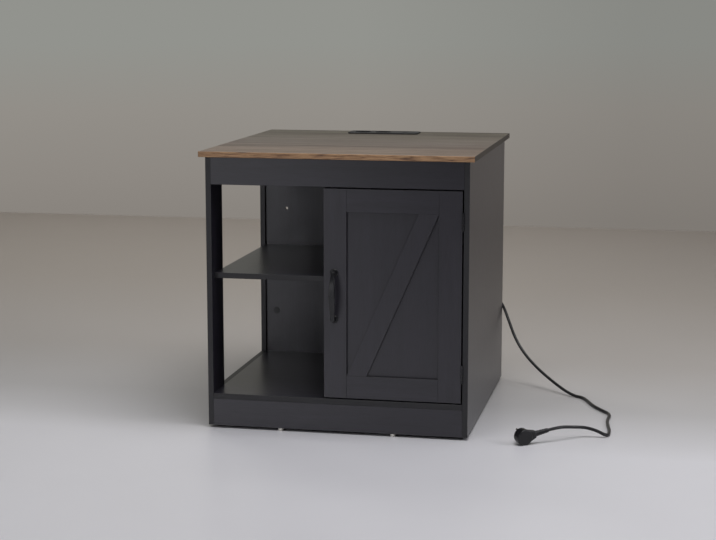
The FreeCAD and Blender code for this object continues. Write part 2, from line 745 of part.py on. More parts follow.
def upright_board(label, across, depth, level, width, height, cuts=None, soft=True):
    body = flat_board("Y", label, (across, depth, level), width, height, cuts=cuts)
    if soft:
        bevel(body, "edge_bevel", lambda middle, edge: front_edges(middle, edge)
              and abs(edge.Vertexes[0].Z - edge.Vertexes[1].Z) < HAIR)
    return drilled(label, body)


def back_panel_holes(body):
    sketch = new_sketch(body, "Y", "LeadHole")
    circle(sketch, "lead_hole_inset", "shelf_top - floor_top + lead_hole_level", "lead_hole_radius")
    pocket(body, sketch, "Y")


upright_board("front_top_rail", "left_inner", "front", "rail_under", "inner_width", "rail_height")
upright_board("rear_top_rail", "left_inner", "rear - board", "rail_under", "inner_width", "rail_height",
              soft=False)
upright_board("front_plinth", "left_inner", "front", "base", "inner_width", "plinth_height")
upright_board("rear_plinth", "left_inner", "rear - board", "base", "inner_width", "plinth_height",
              soft=False)
upright_board("back_panel", "left_inner", "bay_back", "floor_top", "inner_width",
              "under_top - floor_top", cuts=back_panel_holes, soft=False)


def level_board(label, across, depth, level, width, length):
    body = flat_board("Z", label, (across, depth, level), width, length)
    bevel(body, "edge_bevel", front_edges)
    return drilled(label, body)


level_board("bottom_shelf", "left_inner", "front", "plinth_top", "inner_width", "cabinet_depth")
level_board("middle_shelf", "left_inner", "front + shelf_setback", "shelf_under",
            "open_bay_width", "storage_depth - shelf_setback")
level_board("inner_shelf", "inner_bay_left + inner_shelf_play", "front + inner_shelf_setback",
            "shelf_under", "inner_bay_width - 2 * inner_shelf_play",
            "storage_depth - inner_shelf_setback - inner_shelf_play")
side_board("divider_panel", "divider_left", "divider_front", "floor_top",
           "bay_back - divider_front", "under_top - floor_top")


def top_cutout(body):
    sketch = new_sketch(body, "Z", "UnitCutout")
    rectangle(sketch, "top_side_overhang - left_outer - unit_body_length / 2 - cutout_play",
              "top_front_overhang + unit_middle - front - unit_body_width / 2 - cutout_play",
              "unit_body_length + 2 * cutout_play", "unit_body_width + 2 * cutout_play")
    pocket(body, sketch, "Z")


top = flat_board("Z", "top_panel", ("left_outer - top_side_overhang", "front - top_front_overhang",
                                    "under_top"),
                 "cabinet_width + 2 * top_side_overhang", "cabinet_depth + top_front_overhang",
                 thickness="top_thickness")
bevel(top, "top_edge_bevel", lambda middle, edge: True)
top_cutout(top)
drilled("top_panel", top)

keep(group("wood_dowels", dowels), "wood_dowels")
keep(group("cam_locks", cams), "cam_locks")
keep(group("cam_bolts", cam_bolts), "cam_bolts")
keep(group("shelf_pins", shelf_pins), "shelf_pins")


def glide(name, across, depth):
    """Nail-on glide: a flat disc with a broken lower rim."""
    body = new_body(name, (across, depth, "0"))
    sketch = new_sketch(body, "Z", name + "_outline")
    circle(sketch, "0", "0", "glide_radius")
    pad(body, sketch, "Z", "glide_height")
    bevel(body, "glide_bevel", lambda middle, edge: middle.z < HAIR)
    return body


glides = []
for depth_name, depth in (("front", rail_mid), ("rear", rear_mid)):
    for side_name, step in (("left", "-glide_spacing / 2"), ("right", "glide_spacing / 2")):
        glides.append(glide(f"glide_{depth_name}_{side_name}", step, depth))
keep(group("floor_glides", glides), "floor_glides")

# ---------------------------------------------------------------- door
strip_face = "front"


def front_long_edges(middle, edge):
    return middle.y < HAIR


def strip(label, across, level, width, height):
    """Frame strip glued to the front of the door panel."""
    body = flat_board("Y", label, (across, strip_face, level), width, height,
                      thickness="door_strip_thickness")
    bevel(body, "strip_bevel", front_long_edges)
    return body


door_tool = group("DoorBores", screw_bores + handle_bores)
door_panel = flat_board("Y", "door_panel", ("divider_left", "front + door_strip_thickness", "door_bottom"),
                        "door_width", "door_height", thickness="door_panel_thickness")
drilled("door_panel", door_panel, door_tool)
drilled("door_left_stile", strip("door_left_stile", "divider_left", "door_bottom",
                                 "door_frame_width", "door_height"), door_tool)
keep(strip("door_right_stile", "door_right - door_frame_width", "door_bottom",
           "door_frame_width", "door_height"), "door_right_stile")
keep(strip("door_top_rail", "divider_left + door_frame_width", "door_top - door_frame_width",
           "field_width", "door_frame_width"), "door_top_rail")
keep(strip("door_bottom_rail", "divider_left + door_frame_width", "door_bottom",
           "field_width", "door_frame_width"), "door_bottom_rail")

brace = new_body("door_brace", ("divider_left + door_frame_width", strip_face,
                                "door_bottom + door_frame_width"))
brace_outline = new_sketch(brace, "Y", "door_brace_outline")
polygon(brace_outline, [("0", "0"), ("door_brace_run", "0"), ("field_width", "field_height"),
                        ("field_width - door_brace_run", "field_height")])
pad(brace, brace_outline, "Y", "door_strip_thickness")
bevel(brace, "strip_bevel", front_long_edges)
keep(brace, "door_brace")

# ---------------------------------------------------------------- handle
# A bow: an arched bar, widest in its middle, that springs from two posts on round feet.
handle = new_body("door_handle", ("handle_centre_across", "front", "handle_centre_level"))
bow = new_sketch(handle, "X", "handle_bow", "-handle_bar_width / 2")
bowed_outline(bow, [
    ("0", "-handle_half_outer"), ("-handle_post_outer", "-handle_half_outer", "handle_outer_bend", 1),
    ("-handle_post_outer", "handle_half_outer"), ("0", "handle_half_outer"),
    ("0", "handle_half_inner"), ("-handle_post_inner", "handle_half_inner", "handle_inner_bend", -1),
    ("-handle_post_inner", "-handle_half_inner"), ("0", "-handle_half_inner")])
pad(handle, bow, "X", "handle_bar_width", name="Bow")
for reach, radius in (("handle_post_outer", "handle_outer_round"),
                      ("handle_post_inner", "handle_inner_round")):
    bevel(handle, radius, lambda middle, edge, reach=reach: straight_edge(edge)
          and abs(middle.x) < HAIR and abs(middle.y + number(reach)) < HAIR, kind="PartDesign::Fillet")
flanks = new_sketch(handle, "Y", "handle_flanks")
for sign, side in (("", -1), ("-", 1)):
    bowed_outline(flanks, [
        (f"{sign}handle_tip_width / 2", "-handle_flank_half"),
        (f"{sign}handle_tip_width / 2", "-handle_half_inner", "handle_flank_bend", side),
        (f"{sign}handle_tip_width / 2", "handle_half_inner"),
        (f"{sign}handle_tip_width / 2", "handle_flank_half"),
        (f"{sign}handle_bar_width", "handle_flank_half"),
        (f"{sign}handle_bar_width", "-handle_flank_half")])
pocket(handle, flanks, "Y", name="Flanks")
bevel(handle, "handle_edge_round", lambda middle, edge: edge.Length > number("handle_spacing / 2"),
      kind="PartDesign::Fillet")
for name, up in (("lower_foot", "-handle_spacing / 2"), ("upper_foot", "handle_spacing / 2")):
    foot = new_sketch(handle, "Y", name)
    circle(foot, "0", up, "handle_foot_radius")
    pad(handle, foot, "Y", "handle_foot_height", name=name + "_pad", away=True)
bevel(handle, "handle_foot_round", lambda middle, edge: not straight_edge(edge)
      and abs(middle.y + number("handle_foot_height")) < HAIR
      and edge.Length > 2 * math.pi * number("handle_foot_radius") - HAIR, kind="PartDesign::Fillet")
for name, up in (("lower_thread", "-handle_spacing / 2"), ("upper_thread", "handle_spacing / 2")):
    hole = new_sketch(handle, "Y", name)
    circle(hole, "0", up, "handle_screw_radius + joint_clearance")
    pocket(handle, hole, "Y", "handle_screw_grip + joint_end_play", away=True, name=name + "_hole")
keep(handle, "door_handle")


def screw(axis, head_spot, towards, length, radius, head_radius, head_height, sunk):
    """Screw whose head starts at a spot; sunk heads are cones level with the surface."""
    sign = "" if towards > 0 else "-"
    tip = moved(axis, head_spot, f"{sign}({length})") if towards < 0 else head_spot
    shank = rod(axis, tip, length, radius)
    if sunk:
        head = doc.addObject("Part::Cone", "Head")
        bind(head, "Radius1", head_radius if towards > 0 else radius)
        bind(head, "Radius2", radius if towards > 0 else head_radius)
        bind(head, "Height", head_height)
        start = head_spot if towards > 0 else moved(axis, head_spot, f"-({head_height})")
        turns = {"X": Rotation(Vector(0, 1, 0), 90), "Y": Rotation(Vector(1, 0, 0), -90), "Z": Rotation()}
        head.Placement = Placement(Vector(), turns[axis])
        stand(head, start)
    else:
        start = moved(axis, head_spot, f"-({head_height})") if towards > 0 else head_spot
        head = rod(axis, start, head_height, head_radius)
    item = doc.addObject("Part::Fuse", "Screw")
    item.Base = shank
    item.Tool = head
    return item


handle_screws = [screw("Y", ("handle_centre_across", "door_back", level), -1,
                       "door_depth + handle_screw_grip", "handle_screw_radius",
                       "handle_screw_head_radius", "handle_screw_head_height", False)
                 for level in handle_levels]
keep(group("handle_screws", handle_screws), "handle_screws")

# ---------------------------------------------------------------- hinges
def hinge_leaf(label, level, plate_offset, slots, screw_away):
    """Plate and knuckles round the hinge line, with countersunk holes."""
    body = new_body(label, ("hinge_axis_across", "hinge_axis_depth", level))
    plate = new_sketch(body, "X", label + "_plate", plate_offset)
    rectangle(plate, "hinge_pin_radius + leaf_root", "0",
              "hinge_offset + hinge_leaf_depth - hinge_pin_radius - leaf_root", "hinge_height")
    pad(body, plate, "X", "hinge_leaf")
    barrel = new_sketch(body, "Z", label + "_barrel")
    circle(barrel, "0", "0", "knuckle_radius")
    pad(body, barrel, "Z", "hinge_height", name="Barrel")
    bore = new_sketch(body, "Z", label + "_bore")
    circle(bore, "0", "0", "hinge_pin_radius + hinge_pin_play")
    pocket(body, bore, "Z", "hinge_height", name="Bore")
    gaps = new_sketch(body, "X", label + "_gaps")
    for slot in slots:
        rectangle(gaps, "-hinge_offset", f"{slot} * knuckle_pitch - knuckle_play / 2", "2 * hinge_offset",
                  "knuckle_pitch + knuckle_play")
    pocket(body, gaps, "X", name="Gaps")
    face = f"{plate_offset} + hinge_leaf" if screw_away else plate_offset
    holes = new_sketch(body, "X", label + "_holes", face)
    for step in ("-", "+"):
        level = f"hinge_height / 2 {step} hinge_screw_spacing / 2"
        circle(holes, "hinge_offset + hinge_screw_depth", level,
               "hinge_screw_head_radius + joint_clearance * 2")
    pocket(body, holes, "X", "hinge_leaf", away=screw_away, name="Countersinks",
           taper="-atan((hinge_screw_head_radius - hinge_screw_radius) / hinge_leaf)")
    keep(body, label)


frame_screws = []
door_screws = []
pins = []
for where, level in (("lower", "lower_hinge"), ("upper", "upper_hinge")):
    hinge_leaf(f"{where}_hinge_frame_leaf", level, "door_gap / 2 - hinge_leaf", (1, 3), False)
    hinge_leaf(f"{where}_hinge_door_leaf", level, "-door_gap / 2", (0, 2, 4), True)
    pin = doc.addObject("Part::MultiFuse", "HingePin")
    axis_spot = ("hinge_axis_across", "hinge_axis_depth")
    pin.Shapes = [rod("Z", axis_spot + (level,), "hinge_height", "hinge_pin_radius"),
                  rod("Z", axis_spot + (f"{level} - hinge_pin_head_height",), "hinge_pin_head_height",
                      "hinge_pin_head_radius"),
                  rod("Z", axis_spot + (f"{level} + hinge_height",), "hinge_pin_head_height",
                      "hinge_pin_head_radius")]
    pins.append(pin)
for spot, towards in hinge_screws:
    item = screw("X", spot, towards, "hinge_leaf + hinge_screw_length", "hinge_screw_radius",
                 "hinge_screw_head_radius", "hinge_leaf", True)
    (frame_screws if towards > 0 else door_screws).append(item)
keep(group("hinge_pins", pins), "hinge_pins")
keep(group("hinge_frame_screws", frame_screws), "hinge_frame_screws")
keep(group("hinge_door_screws", door_screws), "hinge_door_screws")

# ---------------------------------------------------------------- magnetic catch
catch = new_body("magnetic_catch", ("divider_right", "catch_front", "catch_bottom"))
catch_outline = new_sketch(catch, "X", "catch_outline")
rectangle(catch_outline, "0", "0", "catch_depth", "catch_length")
pad(catch, catch_outline, "X", "catch_width")
ears = new_sketch(catch, "X", "catch_ears", "catch_width")
rectangle(ears, "0", "0", "catch_depth", "catch_ear_length")
rectangle(ears, "0", "catch_length - catch_ear_length", "catch_depth", "catch_ear_length")
pocket(catch, ears, "X", "catch_width - catch_ear_thickness", away=True, name="Ears")
seat = new_sketch(catch, "Y", "magnet_seat")
rectangle(seat, "(catch_width - catch_magnet_width) / 2", "(catch_length - catch_magnet_length) / 2",
          "catch_magnet_width", "catch_magnet_length")
pocket(catch, seat, "Y", "catch_magnet_depth", name="MagnetSeat")
ear_holes = new_sketch(catch, "X", "ear_holes")
for up in ("catch_screw_inset", "catch_length - catch_screw_inset"):
    circle(ear_holes, "catch_depth / 2", up, "catch_screw_radius + joint_clearance")
pocket(catch, ear_holes, "X", "catch_ear_thickness", name="EarHoles")
keep(catch, "magnetic_catch_body")
keep(block(("divider_right + (catch_width - catch_magnet_width) / 2", "catch_front",
            "catch_bottom + (catch_length - catch_magnet_length) / 2"),
           ("catch_magnet_width", "catch_magnet_depth", "catch_magnet_length")), "catch_magnet")
strike = new_body("strike", ("divider_right + (catch_width - catch_plate_width) / 2", "door_back",
                             "catch_bottom"))
strike_outline = new_sketch(strike, "Y", "strike_outline")
rectangle(strike_outline, "0", "0", "catch_plate_width", "catch_length")
pad(strike, strike_outline, "Y", "catch_plate_thickness")
bevel(strike, "catch_plate_corner", lambda middle, edge: straight_edge(edge)
      and abs(edge.Vertexes[0].Y - edge.Vertexes[1].Y) > HAIR, kind="PartDesign::Fillet")
strike_holes = new_sketch(strike, "Y", "strike_holes", "catch_plate_thickness")
for up in ("catch_screw_inset", "catch_length - catch_screw_inset"):
    circle(strike_holes, "catch_plate_width / 2", up, "catch_screw_head_radius + joint_clearance * 2")
pocket(strike, strike_holes, "Y", "catch_plate_thickness", away=True, name="Countersinks",
       taper="-atan((catch_screw_head_radius - catch_screw_radius) / catch_plate_thickness)")
keep(strike, "catch_strike_plate")
catch_screws = []
plate_screws = []
for up in ("catch_screw_inset", "catch_length - catch_screw_inset"):
    ear = ("divider_right + catch_ear_thickness", "catch_front + catch_depth / 2", f"catch_bottom + {up}")
    plate = ("divider_right + catch_width / 2", "door_back + catch_plate_thickness",
             f"catch_bottom + {up}")
    catch_screws.append(screw("X", ear, -1, "catch_ear_thickness + catch_screw_length",
                              "catch_screw_radius", "catch_screw_head_radius",
                              "catch_screw_head_height", False))
    plate_screws.append(screw("Y", plate, -1, "catch_plate_thickness + catch_screw_length",
                              "catch_screw_radius", "catch_screw_head_radius",
                              "catch_plate_thickness", True))
keep(group("catch_screws", catch_screws), "catch_screws")
keep(group("strike_plate_screws", plate_screws), "strike_plate_screws")
keep(group("cam_caps", cam_caps), "cam_caps")

# ---------------------------------------------------------------- power unit
rim = new_body("unit_rim", ("-unit_length / 2", "unit_middle - unit_width / 2", "top_surface"))
rim_outline = new_sketch(rim, "Z", "rim_outline")
rectangle(rim_outline, "0", "0", "unit_length", "unit_width")
pad(rim, rim_outline, "Z", "unit_rim_height")
bevel(rim, "unit_corner_radius", lambda middle, edge: straight_edge(edge)
      and abs(edge.Vertexes[0].Z - edge.Vertexes[1].Z) > HAIR, kind="PartDesign::Fillet")
bevel(rim, "unit_rim_round", lambda middle, edge: middle.z > number("unit_rim_height") - HAIR,
      kind="PartDesign::Fillet")
rim_holes = new_sketch(rim, "Z", "rim_holes")
for across in ("left_socket_across", "right_socket_across"):
    circle(rim_holes, f"unit_length / 2 + {across}", "unit_width / 2",
           "socket_outer + socket_play")
rectangle(rim_holes, "unit_length / 2 + charger_across - charger_length / 2 - socket_play",
          "unit_width / 2 - charger_width / 2 - socket_play", "charger_length + 2 * socket_play",
          "charger_width + 2 * socket_play")
pocket(rim, rim_holes, "Z")
keep(rim, "power_unit_bezel")

housing = new_body("unit_housing", ("-unit_body_length / 2", "unit_middle - unit_body_width / 2",
                                    "unit_floor"))
housing_outline = new_sketch(housing, "Z", "housing_outline")
rectangle(housing_outline, "0", "0", "unit_body_length", "unit_body_width")
pad(housing, housing_outline, "Z", "unit_body_depth")
housing_room = new_sketch(housing, "Z", "housing_room", "unit_body_depth")
rectangle(housing_room, "unit_wall", "unit_wall", "unit_body_length - 2 * unit_wall",
          "unit_body_width - 2 * unit_wall")
pocket(housing, housing_room, "Z", "unit_body_depth - unit_wall", away=True, name="Room")
keep(housing, "power_unit_housing")


def turned(label, corner, outline, features=None):
    """Round piece turned about its own upright axis from half its section."""
    body = new_body(label, corner)
    section = new_sketch(body, "Y", label + "_section")
    polygon(section, outline)
    turn = body.newObject("PartDesign::Revolution", "Turn")
    turn.Profile = section
    turn.ReferenceAxis = (section, ["V_Axis"])
    turn.Angle = 360
    section.Visibility = False
    doc.recompute()
    return body


clips = []
for side, across in (("left", "left_socket_across"), ("right", "right_socket_across")):
    well = turned(f"{side}_socket", (across, "unit_middle", "rim_top - socket_well_depth - socket_floor"), [
        ("0", "0"), ("socket_outer", "0"),
        ("socket_outer", "socket_floor + socket_well_depth - unit_rim_height - socket_collar_height"),
        ("socket_lip", "socket_floor + socket_well_depth - unit_rim_height - socket_collar_height"),
        ("socket_lip", "socket_floor + socket_well_depth - unit_rim_height"),
        ("socket_outer", "socket_floor + socket_well_depth - unit_rim_height"),
        ("socket_outer", "socket_floor + socket_well_depth"),
        ("socket_well_radius", "socket_floor + socket_well_depth"),
        ("socket_well_radius", "socket_floor"), ("0", "socket_floor")])
    pin_holes = new_sketch(well, "Z", f"{side}_pin_holes")
    for step in ("-", ""):
        circle(pin_holes, f"{step}socket_pin_spacing / 2", "0", "socket_pin_radius")
    pocket(well, pin_holes, "Z", "socket_floor", name="PinHoles")
    keep(well, f"{side}_socket")
    clip_run = "socket_well_radius - earth_clip_play"
    for depth in (f"unit_middle - ({clip_run})", f"unit_middle + {clip_run} - earth_clip_thickness"):
        clips.append(block((f"{across} - earth_clip_width / 2", depth, "rim_top - socket_well_depth"),
                           ("earth_clip_width", "earth_clip_thickness", "earth_clip_height")))
keep(group("socket_earth_clips", clips), "socket_earth_clips")

charger = new_body("charger", ("charger_across - charger_length / 2", "unit_middle - charger_width / 2",
                               "rim_top - charger_depth - unit_rim_height"))
charger_outline = new_sketch(charger, "Z", "charger_outline")
rectangle(charger_outline, "0", "0", "charger_length", "charger_width")
pad(charger, charger_outline, "Z", "charger_depth + unit_rim_height")
charger_lip = new_sketch(charger, "Z", "charger_lip", "charger_depth - socket_collar_height")
rectangle(charger_lip, "-charger_collar", "-charger_collar", "charger_length + 2 * charger_collar",
          "charger_width + 2 * charger_collar")
pad(charger, charger_lip, "Z", "socket_collar_height", name="Lip")
charger_slots = new_sketch(charger, "Z", "charger_slots", "charger_depth + unit_rim_height")
for step in ("-", "+"):
    rectangle(charger_slots, "charger_length / 2 - charger_slot_length / 2",
              f"charger_width / 2 {step} charger_slot_spacing / 2 - charger_slot_height / 2",
              "charger_slot_length", "charger_slot_height")
pocket(charger, charger_slots, "Z", "charger_slot_depth", away=True, name="Slots")
keep(charger, "usb_charger_module")
clamps = [block((start, "unit_middle - clamp_width / 2", "under_top - clamp_height"),
                ("clamp_length", "clamp_width", "clamp_height"))
          for start in ("-unit_body_length / 2 - clamp_length", "unit_body_length / 2")]
keep(group("power_unit_clamps", clamps), "power_unit_clamps")


def ribbed(length, root, tip, groove):
    """Half section of a tapering sleeve with rings of grooves."""
    outline = [("0", "0"), (root, "0")]
    cells = 2 * round(value_of("relief_ribs"))
    for cell in range(1, cells):
        spot = f"{length} * {cell} / {cells}"
        full = f"{root} - ({root} - {tip}) * {cell} / {cells}"
        inner = f"{full} - {groove}"
        outline += [(full, spot), (inner, spot)] if cell % 2 else [(inner, spot), (full, spot)]
    return outline + [(tip, length), ("0", length)]


relief = turned("unit_relief", ("cord_exit_across", "unit_middle", "unit_floor"),
                ribbed("relief_length", "relief_root_radius", "relief_tip_radius", "relief_groove"))
relief.Placement.Rotation = Rotation(Vector(1, 0, 0), 180)
keep(relief, "cord_strain_relief")

# ---------------------------------------------------------------- plug
# Its own X runs along the cord and its own Z out of the smooth back face.
heading = math.radians(value_of("plug_heading"))
rise = math.radians(value_of("plug_tilt"))
cord_way = Vector(math.cos(heading) * math.cos(rise), math.sin(heading) * math.cos(rise), math.sin(rise))
back_way = Vector(math.sin(heading), -math.cos(heading), 0)
plug_turn = Rotation(cord_way, back_way.cross(cord_way), back_way, "ZXY")
plug_spot = ("plug_across", "plug_depth", "plug_radius")
plug = new_body("plug", plug_spot)
plug.Placement.Rotation = plug_turn
shoulder = new_sketch(plug, "Z", "plug_shoulder", "-plug_shoulder_thickness / 2")
polygon(shoulder, [("plug_shoulder_start", "-plug_shoulder_root"),
                   ("plug_shoulder_end", "-plug_shoulder_tip"),
                   ("plug_shoulder_end", "plug_shoulder_tip"),
                   ("plug_shoulder_start", "plug_shoulder_root")])
pad(plug, shoulder, "Z", "plug_shoulder_thickness", name="Shoulder")
bevel(plug, "plug_shoulder_round", lambda middle, edge: middle.x > number("plug_shoulder_start") + HAIR,
      kind="PartDesign::Fillet")
head_outline = new_sketch(plug, "Z", "plug_outline", "plug_back - plug_thickness")
circle(head_outline, "0", "0", "plug_radius")
pad(plug, head_outline, "Z", "plug_thickness", name="Head")
bevel(plug, "plug_back_round", lambda middle, edge: middle.z > number("plug_back") - HAIR,
      kind="PartDesign::Fillet")
neck = new_sketch(plug, "X", "plug_neck")
circle(neck, "0", "0", "plug_neck_root_radius")
pad(plug, neck, "X", "plug_neck_length", name="Neck",
    taper="-atan((plug_neck_root_radius - plug_neck_radius) / plug_neck_length)")
grip = new_sketch(plug, "Z", "plug_grip", "plug_back")
circle(grip, "0", "plug_radius + plug_grip_radius / 2", "plug_grip_radius")
groove = pocket(plug, grip, "Z", "plug_grip_length", away=True, name="Groove")
grips = plug.newObject("PartDesign::PolarPattern", "Grips")
grips.Originals = [groove]
grips.Axis = (head_outline, ["N_Axis"])
bind(grips, "Angle", "plug_grip_sweep")
bind(grips, "Occurrences", "plug_grip_count")
plug.Tip = grips
doc.recompute()
keep(plug, "plug_body")
sleeve = ribbed("plug_relief_length", "plug_neck_radius", "plug_relief_tip_radius", "relief_groove")
plug_relief = turned("plug_relief", plug_spot,
                     [(across, f"plug_neck_length + {up}") for across, up in sleeve])
plug_relief.Placement.Rotation = Rotation(back_way.cross(cord_way), back_way, cord_way, "ZXY")
keep(plug_relief, "plug_strain_relief")
plug_pins = []
for step in ("-", ""):
    prong = new_body("prong", plug_spot)
    prong.Placement.Rotation = plug_turn
    prong_outline = new_sketch(prong, "Z", "prong_outline", "plug_back - plug_thickness")
    circle(prong_outline, "0", f"{step}plug_pin_spacing / 2", "plug_pin_radius")
    pad(prong, prong_outline, "Z", "plug_pin_length", name="Prong", away=True)
    bevel(prong, "plug_pin_round", lambda middle, edge: middle.z < number("plug_back - plug_thickness") - 1,
          kind="PartDesign::Fillet")
    plug_pins.append(prong)
keep(group("plug_pins", plug_pins), "plug_pins")

# ---------------------------------------------------------------- cord
# Middle line from the unit's strain relief down behind the table and over the floor to the plug.
lead_out = number("plug_neck_length + plug_relief_length")
cord_end = Vector(*(number(text) for text in plug_spot)) + cord_way * lead_out
exit_spot = Vector(number("cord_exit_across"), number("unit_middle"), number("relief_end"))
FLOOR = number("cord_radius + cord_lift")
CORD_LINE = [
    exit_spot, exit_spot - Vector(0, 0, number("cord_drop")), Vector(66, 267, 456), Vector(88, 277, 404),
    Vector(124, 292, 352), Vector(168, 308, 304), Vector(216, 324, 262), Vector(258, 336, 224),
    Vector(288, 336, 184), Vector(306, 314, 147), Vector(325, 293, 107), Vector(350, 268, 76),
    Vector(384, 237, 49), Vector(424, 202, 26), Vector(460, 169, 10), Vector(484, 150, FLOOR),
    Vector(503, 140, FLOOR), Vector(517, 107, FLOOR), Vector(533, 60, FLOOR), Vector(556, 20, FLOOR),
    Vector(577, -12, FLOOR), Vector(572, -66, FLOOR), Vector(577, -118, FLOOR), Vector(584, -168, FLOOR),
    Vector(580, -208, 4), Vector(557, -206, 15), Vector(532, -211, 22), Vector(507, -226, 25),
    cord_end + cord_way * number("cord_lead_in"), cord_end,
]


def cord_middle(points):
    """Straight runs joined by tangent arcs; returns the edges and the bend radii."""
    edges = []
    radii = []
    begin = points[0]
    for before, corner, after in zip(points, points[1:], points[2:]):
        way_in = (corner - before).normalize()
        way_out = (after - corner).normalize()
        turn = way_in.getAngle(way_out)
        reach = number("cord_bend_share") * min((corner - before).Length, (after - corner).Length)
        radius = reach / math.tan(turn / 2)
        start = corner - way_in * reach
        finish = corner + way_out * reach
        inward = (way_out - way_in).normalize()
        crest = corner + inward * (radius / math.cos(turn / 2) - radius)
        edges.append(Part.LineSegment(begin, start).toShape())
        edges.append(Part.Arc(start, crest, finish).toShape())
        radii.append(round(radius, 1))
        begin = finish
    edges.append(Part.LineSegment(begin, points[-1]).toShape())
    return edges, radii


cord_edges, cord_radii = cord_middle(CORD_LINE)
cord_wire = Part.Wire(cord_edges)
first_way = (CORD_LINE[1] - CORD_LINE[0]).normalize()
cord_ring = Part.Wire(Part.Circle(CORD_LINE[0], first_way, number("cord_radius")).toShape())
cord = doc.addObject("Part::Feature", "mains_cord")
cord.Shape = cord_wire.makePipeShell([cord_ring], True, False)
cord.Placement = Placement()
keep(cord, "mains_cord")
expected = cord_wire.Length * math.pi * number("cord_radius") ** 2
print("cord length", round(cord_wire.Length, 1), "bend radii", cord_radii)
print("cord volume", round(cord.Shape.Volume), "section x length", round(expected))

# ---------------------------------------------------------------- checks and files
doc.recompute()
for item in doc.Objects:
    if "Invalid" in item.State or "Error" in item.State:
        raise RuntimeError(f"{item.Name} ({item.Label}) did not build")
os.makedirs("parts", exist_ok=True)
# the mains lead lies beside the table and isn't part of its size
LOOSE = ("mains_cord", "plug_body", "plug_pins", "plug_strain_relief", "cord_strain_relief")
whole = FreeCAD.BoundBox()
for item in nodes:
    shape = item.Shape
    if shape.isNull() or not shape.isValid() or not shape.Solids:
        raise RuntimeError(f"{item.Label} has no sound solid")
    shape.exportStep(os.path.join("parts", item.Label + ".step"))
    if item.Label not in LOOSE:
        whole.add(shape.BoundBox)
print("pieces", len(nodes), "solids", sum(len(item.Shape.Solids) for item in nodes))
print("bounds", whole)
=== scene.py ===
"""Storage side table with a power unit: lead, finishes, studio, light and camera.

Everything is in metres in the part's own frame: +Z up, front towards -Y, floor at zero.
"""
import math

import bpy
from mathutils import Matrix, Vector


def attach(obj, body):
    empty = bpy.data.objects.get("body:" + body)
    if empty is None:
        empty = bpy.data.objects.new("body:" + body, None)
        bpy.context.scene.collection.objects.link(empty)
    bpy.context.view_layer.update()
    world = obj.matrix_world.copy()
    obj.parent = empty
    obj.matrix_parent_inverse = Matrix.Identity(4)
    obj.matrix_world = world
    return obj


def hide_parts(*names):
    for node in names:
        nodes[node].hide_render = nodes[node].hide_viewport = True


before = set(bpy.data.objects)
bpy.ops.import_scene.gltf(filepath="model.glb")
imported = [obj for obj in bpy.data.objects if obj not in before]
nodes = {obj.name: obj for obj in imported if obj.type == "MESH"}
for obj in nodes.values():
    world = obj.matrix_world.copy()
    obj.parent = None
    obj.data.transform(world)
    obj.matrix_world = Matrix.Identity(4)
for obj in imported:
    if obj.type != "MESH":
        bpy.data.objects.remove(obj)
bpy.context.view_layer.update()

MM = 0.001
scene = bpy.context.scene
scene.view_settings.view_transform = "Standard"

# ---------------------------------------------------------------- camera
CAMERA_SPOT = (0.7597, -3.7416, 0.9355)
CAMERA_TURN = 11.647    # degrees to the left of straight ahead
CAMERA_DIP = 9.229      # degrees below the horizon
CAMERA_LENS = 83.897    # mm, over a sensor of the width below
SENSOR_WIDTH = 36
SIGHT_LIMIT = 60        # m, beyond the far end of the floor


def place_camera():
    """View from the front right, a little above the top board, as a catalogue shows such a table."""
    data = bpy.data.cameras.new("catalogue_camera")
    data.lens = CAMERA_LENS
    data.sensor_width = SENSOR_WIDTH
    data.sensor_fit = "HORIZONTAL"
    data.clip_end = SIGHT_LIMIT
    camera = bpy.data.objects.new("catalogue_camera", data)
    camera.location = CAMERA_SPOT
    camera.rotation_euler = (math.radians(90 - CAMERA_DIP), 0, math.radians(CAMERA_TURN))
    scene.collection.objects.link(camera)
    scene.camera = camera


# ---------------------------------------------------------------- mains lead
# Places along the lead are in mm. At the plug it starts the way the plug's tail points.
CORD_DIAMETER = 7 * MM
CORD_FLOOR = 3.6        # height of the lead's middle where it lies on the floor
PLUG_HEADING = math.radians(33)
PLUG_TILT = math.radians(9.5)
PLUG_MIDDLE = Vector((410, -300, 17))
PLUG_TAIL = 57          # from the plug's middle to the end of its tail
STRAIGHT_BY_PLUG = 28
STRAIGHT_BY_UNIT = 31
CORD_WAY = Vector((math.cos(PLUG_HEADING) * math.cos(PLUG_TILT),
                   math.sin(PLUG_HEADING) * math.cos(PLUG_TILT), math.sin(PLUG_TILT)))
CORD_END = PLUG_MIDDLE + CORD_WAY * PLUG_TAIL
CORD_EXIT = Vector((60, 264, 530))
CORD_LINE = [
    CORD_EXIT, CORD_EXIT - Vector((0, 0, STRAIGHT_BY_UNIT)), (66, 267, 456), (88, 277, 404),
    (124, 292, 352), (168, 308, 304), (216, 324, 262), (258, 336, 224),
    (288, 336, 184), (306, 314, 147), (325, 293, 107), (350, 268, 76),
    (384, 237, 49), (424, 202, 26), (460, 169, 10), (484, 150, CORD_FLOOR),
    (503, 140, CORD_FLOOR), (517, 107, CORD_FLOOR), (533, 60, CORD_FLOOR), (556, 20, CORD_FLOOR),
    (577, -12, CORD_FLOOR), (572, -66, CORD_FLOOR), (577, -118, CORD_FLOOR), (584, -168, CORD_FLOOR),
    (580, -208, 4), (557, -206, 15), (532, -211, 22), (507, -226, 25),
    CORD_END + CORD_WAY * STRAIGHT_BY_PLUG, CORD_END,
]


